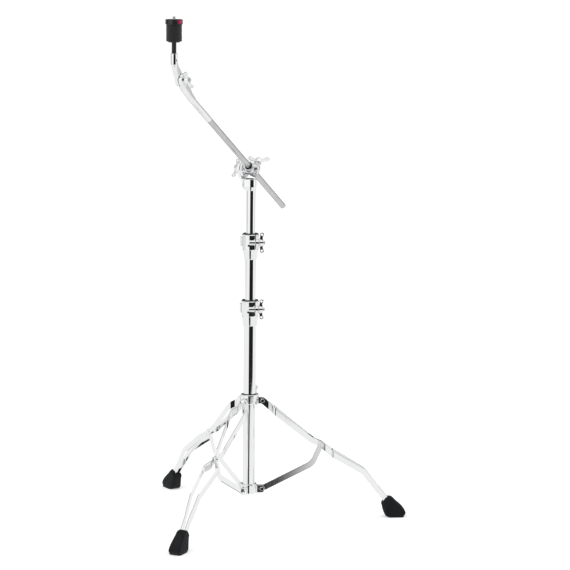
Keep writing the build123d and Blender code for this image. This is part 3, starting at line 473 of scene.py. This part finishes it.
# ---------------------------------------------------------------- felts
def felt(node):
    """Pressed felt washer with soft rims and a matted, slightly uneven surface."""
    low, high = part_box(node)
    outer = (high.x - low.x) / 2 - 0.15 * MM
    height = high.z - low.z
    inner = radius_about("cymbal_sleeve", UP, ROD) + 0.3 * MM
    rim = 1.3 * MM
    outline = rounded([(outer, 0), (outer, height), (inner, height), (inner, 0)], rim, 5)
    profile = []
    for start, end in zip(outline, outline[1:] + outline[:1]):
        pieces = max(1, int((Vector(end) - Vector(start)).length / (0.9 * MM)))
        profile += [tuple(Vector(start).lerp(Vector(end), i / pieces)) for i in range(pieces)]

    mesh = lathe(profile, ROD + UP * low.z, UP, 132, loop=True)
    mesh.shade_smooth()
    for vertex in mesh.vertices:
        away = vertex.co - ROD - UP * (low.z + height / 2)
        flat = Vector((away.x, away.y, 0))
        if flat.length < outer - 4 * MM:
            continue
        fibre = noise.fractal(vertex.co * 900, 0.6, 2.1, 4)
        lump = noise.noise(vertex.co * 160)
        vertex.co += flat.normalized() * (0.13 * fibre + 0.12 * lump - 0.1) * MM
    return add_piece(mesh, node)


felt("lower_felt")
felt("upper_felt")


# ---------------------------------------------------------------- rubber feet
def curve_at(points, t):
    """Catmull-Rom curve through 2-D points, t from 0 to 1."""
    spread = t * (len(points) - 1)
    i = min(int(spread), len(points) - 2)
    u = spread - i
    p0, p1, p2, p3 = (Vector(points[min(max(i + k, 0), len(points) - 1)]) for k in (-1, 0, 1, 2))
    return 0.5 * (
        2 * p1 + (p2 - p0) * u + (2 * p0 - 5 * p1 + 4 * p2 - p3) * u * u + (3 * p1 - p0 - 3 * p2 + p3) * u**3
    )


HEEL = [(307, 31.5), (308.6, 22), (311.5, 11.5), (316, 3.6), (322.5, 0.2)]
TOE = [(318, 47.5), (329, 48.2), (341.5, 37.2), (355, 24.6), (363.6, 10.5), (359, 0.2)]
WIDTHS = [(0, 10.3), (0.25, 12.0), (0.5, 13.6), (0.8, 14.7), (1, 14.3)]
FOOT_ROWS, FOOT_AROUND = 46, 56
NECK_POWER, SOLE_POWER = 0.48, 0.28     # squareness of a section: smaller is squarer
LIP_END, LIP = 0.11, 0.7
GROOVE_START, GROOVE_END, GROOVE = 0.885, 0.93, 0.55
CREST = 1.1


def foot_ring(t, grow=0.0):
    """One section of a foot, from its neck at 0 to its sole at 1; x outwards, y across, z up."""
    heel, toe = curve_at(HEEL, t), curve_at(TOE, t)
    middle, half = (heel + toe) / 2, (toe - heel) / 2
    width = curve_at(WIDTHS, t).y
    lip = LIP if t < LIP_END else 0.0
    groove = GROOVE if GROOVE_START < t < GROOVE_END else 0.0
    power = NECK_POWER - (NECK_POWER - SOLE_POWER) * min(1.0, max(0.0, (t - 0.35) / 0.4))
    ring = []
    for i in range(FOOT_AROUND):
        angle = TAU * i / FOOT_AROUND
        c, s = cos(angle), sin(angle)
        u = abs(c) ** power * (1 if c > 0 else -1)
        v = abs(s) ** power * (1 if s > 0 else -1)
        along_top = max(0.0, 1 - (s / 0.42) ** 2) * max(0.0, c)
        crest = CREST * along_top * min(1, 5 * t) * min(1, 4 * (1 - t))
        stretch = 1 + (grow + lip - groove - 0.9 + crest) / half.length
        side = middle + half * u * stretch
        ring.append(Vector((side.x, v * (width + grow + lip - groove - 0.2), max(side.y, 0.1))) * MM)
    return ring


def foot(node, angle):
    """Moulded rubber boot: a lip round the neck, a crest along the top and a groove above the sole."""
    rings = [foot_ring(0.012, -4.5), foot_ring(0.0, -2.2)]
    rings += [foot_ring(i / (FOOT_ROWS - 1)) for i in range(FOOT_ROWS)]
    rings += [foot_ring(1.0, -1.2), foot_ring(1.0, -4.0)]
    mesh = skin(rings, closed_ends=(True, True))
    mesh.transform(Matrix.Rotation(angle, 4, "Z"))
    mesh.shade_smooth()
    piece = add_piece(mesh, node)
    divide = piece.modifiers.new("subdivision", "SUBSURF")
    divide.levels = 1
    divide.render_levels = 1
    return piece


for number, degrees in enumerate((0, 120, -120), start=1):
    foot(f"leg_{number}_foot", radians(degrees))


# ---------------------------------------------------------------- bars, castings and small hardware
for number in (1, 2, 3):
    soften(f"leg_{number}_rails", 0.8 * MM, 3)
    soften(f"brace_{number}", 0.7 * MM, 3)
    soften(f"leg_{number}_joint_rivet", 0.5 * MM)

for node in (
    "lower_clamp_wing_nut", "upper_clamp_wing_nut", "tilt_wing_nut", "boom_wing_nut", "tilter_wing_nut",
    "leg_hub_wing_bolt", "leg_hub", "brace_hub", "boom_head_yoke",
):
    cast(node)

# bores and shanks that run in one another are cleaned up after the remesh
BORE_CLEAR = 4.35 * MM
SHANK_CLEAR = 3.85 * MM
WELL_BEHIND = 60 * MM
castings = {
    piece["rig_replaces"][0]: piece for piece in bpy.context.scene.objects if piece.get("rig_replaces")
}
for prefix, node in (
    ("lower", "lower_clamp_wing_nut"), ("upper", "upper_clamp_wing_nut"), ("tilt", "tilt_wing_nut"),
    ("boom", "boom_wing_nut"), ("tilter", "tilter_wing_nut"),
):
    screw = joints[f"{prefix}_wing_nut_turn"]
    axis = Vector(screw["axis"]).normalized()
    ream(castings[node], Vector(screw["pos_m"]) - axis * WELL_BEHIND, axis, BORE_CLEAR)

bolt_low, bolt_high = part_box("leg_hub_wing_bolt")
bolt_centre = (Vector(bolt_low) + Vector(bolt_high)) / 2
hub_centre = Vector((0, 0, joints["leg_hub_wing_bolt_turn"]["pos_m"][2]))
outward = Vector((bolt_centre.x, bolt_centre.y, 0)).normalized()
HUB_BOLT_SEAT = 27.3 * MM
ream(castings["leg_hub"], hub_centre, outward, BORE_CLEAR)
turn_down(castings["leg_hub_wing_bolt"], hub_centre, outward, HUB_BOLT_SEAT - 0.1 * MM, SHANK_CLEAR)

cast("tilter_base", rounds=10)
cast("tilter_head", rounds=10)

# the holder's dome is satin, its disc against the yoke is polished
holder = cast("boom_holder")
holder.data.materials.append(looks["satin_casting"])
for face in holder.data.polygons:
    if (face.center - HEAD).dot(SIDE) > -8 * MM:
        face.material_index = 1

for node in (
    "lower_clamp_collar", "upper_clamp_collar", "lower_clamp_bushing", "upper_clamp_bushing",
    "brace_hub_rivets", "leg_hub_rivets", "leg_hub_sleeve", "lower_clamp_washer",
    "upper_clamp_washer", "tilt_washer",
    "boom_clamp_washer", "boom_arm_cap", "boom_bushing", "tilter_bolt", "boom_clamp_bolt", "tilt_bolt",
    "quick_release_nut", "quick_release_button", "cymbal_sleeve", "felt_seat", "tilter_friction_disc",
    "lower_glide", "upper_glide",
):
    soften(node, 0.35 * MM)

replaced = set()
for piece in bpy.context.scene.objects:
    replaced.update(piece.get("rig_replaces", []))
for name, node in frame["nodes"].items():
    if name not in replaced:
        node.data.materials.clear()
        node.data.materials.append(looks[slots[name]])


# ---------------------------------------------------------------- floor, world, lights and camera
bpy.ops.mesh.primitive_circle_add(vertices=64, radius=60, fill_type="NGON")
floor = bpy.context.object
floor.name = "studio_floor"
paint = bpy.data.materials.new("studio_floor")
paint.use_nodes = True
paint_shader = paint.node_tree.nodes["Principled BSDF"]
paint_shader.inputs["Base Color"].default_value = (0.93, 0.93, 0.93, 1)
paint_shader.inputs["Roughness"].default_value = 0.9
paint_shader.inputs["Specular IOR Level"].default_value = 0.0
paint_shader.inputs["Emission Color"].default_value = (1, 1, 1, 1)
paint_shader.inputs["Emission Strength"].default_value = 0.34
floor.data.materials.append(paint)
floor.visible_glossy = False

world = bpy.data.worlds.new("studio")
bpy.context.scene.world = world
world.use_nodes = True
tree = world.node_tree
add = node_maker(tree)
background = tree.nodes["Background"]
ray = add("ShaderNodeSeparateXYZ", None, Vector=add("ShaderNodeTexCoord").outputs["Generated"])
toward = add("ShaderNodeMath", {"operation": "MULTIPLY"}, i0=ray.outputs[1], i1=-1.0).outputs[0]
azimuth = add("ShaderNodeMath", {"operation": "ARCTAN2"}, i0=ray.outputs[0], i1=toward).outputs[0]
elevation = add("ShaderNodeMath", {"operation": "ARCSINE"}, i0=ray.outputs[2]).outputs[0]


def times(a, b):
    return add("ShaderNodeMath", {"operation": "MULTIPLY"}, i0=a, i1=b).outputs[0]


def less(a, b):
    return add("ShaderNodeMath", {"operation": "SUBTRACT"}, i0=a, i1=b).outputs[0]


def band(value, start, end, soft):
    """1 between two angles in degrees, 0 outside, with soft edges."""
    rise = span(add, value, radians(start - soft), radians(start + soft), 0.0, 1.0, True)
    fall = span(add, value, radians(end - soft), radians(end + soft), 1.0, 0.0, True)
    return times(rise, fall)


# the dark open side of a white tent: wide above the far edge of the floor sheet, narrow below it
far_edge = span(add, elevation, radians(-12.2), radians(-11.2), radians(5), radians(57), True)
right_of_edge = less(azimuth, far_edge)
opening = times(band(azimuth, -19, 170, 1), span(add, right_of_edge, radians(-1), radians(1), 1.0, 0.0, True))
opening = times(opening, band(elevation, -32, 38, 4))
above_floor = span(add, elevation, radians(-10), radians(-6), 0.0, 1.0, True)
grey_left = times(times(band(azimuth, -136, -72, 6), above_floor), 0.38)
grey_right = times(times(band(azimuth, 104, 146, 6), above_floor), 0.42)
behind = add("ShaderNodeMath", {"operation": "ABSOLUTE"}, i0=azimuth).outputs[0]
back_side = span(add, behind, radians(145), radians(150), 0.0, 1.0, True)
back_gap = times(back_side, band(elevation, -3.5, 46, 1.5))
back_foot = times(span(add, behind, radians(148), radians(153), 0.0, 1.0, True), band(elevation, -38, -22, 2))
sheet = times(band(elevation, -95, -8, 2), 0.10)
wall = less(less(less(1.05, grey_left), grey_right), sheet)
lit = times(less(1.0, times(opening, 0.985)), less(1.0, times(back_gap, 0.9)))
seen = times(times(wall, lit), less(1.0, times(back_foot, 0.8)))
is_camera = add("ShaderNodeLightPath").outputs["Is Camera Ray"]
strength = add("ShaderNodeMix", {"data_type": "FLOAT"}, i0=is_camera, i2=seen, i3=1.0).outputs[0]
tree.links.new(strength, background.inputs["Strength"])
background.inputs["Color"].default_value = (1, 1, 1, 1)


KEY_POWER, RIM_POWER = 28, 14


def softbox(name, place, target, size, power):
    lamp = bpy.data.lights.new(name, "AREA")
    lamp.shape = "RECTANGLE"
    lamp.size, lamp.size_y = size
    lamp.energy = power
    box = bpy.data.objects.new(name, lamp)
    box.location = place
    box.rotation_euler = (Vector(target) - Vector(place)).to_track_quat("-Z", "Y").to_euler()
    box.visible_glossy = False
    bpy.context.scene.collection.objects.link(box)


softbox("key", (-2.2, -2.0, 3.2), (0, 0, 0.6), (1.6, 2.4), KEY_POWER)
softbox("rim", (2.6, 1.2, 2.4), (0, 0, 0.6), (1.2, 2.4), RIM_POWER)

HEADING, PITCH, ROLL = radians(4.465), radians(8.843), radians(0.561)
forward = Vector((sin(HEADING) * cos(PITCH), cos(HEADING) * cos(PITCH), -sin(PITCH)))
level = Vector((cos(HEADING), -sin(HEADING), 0))
above = level.cross(forward)
right = level * cos(ROLL) + above * sin(ROLL)
top = above * cos(ROLL) - level * sin(ROLL)
lens = bpy.data.cameras.new("camera")
lens.sensor_width = 36
lens.lens = 140.99
lens.clip_end = 200
camera = bpy.data.objects.new("camera", lens)
bpy.context.scene.collection.objects.link(camera)
camera.matrix_world = Matrix((right, top, -forward)).transposed().to_4x4()
camera.location = (-0.3105, -4.990, 1.321)
bpy.context.scene.camera = camera
bpy.context.scene.view_settings.view_transform = "Standard"

bpy.context.view_layer.update()
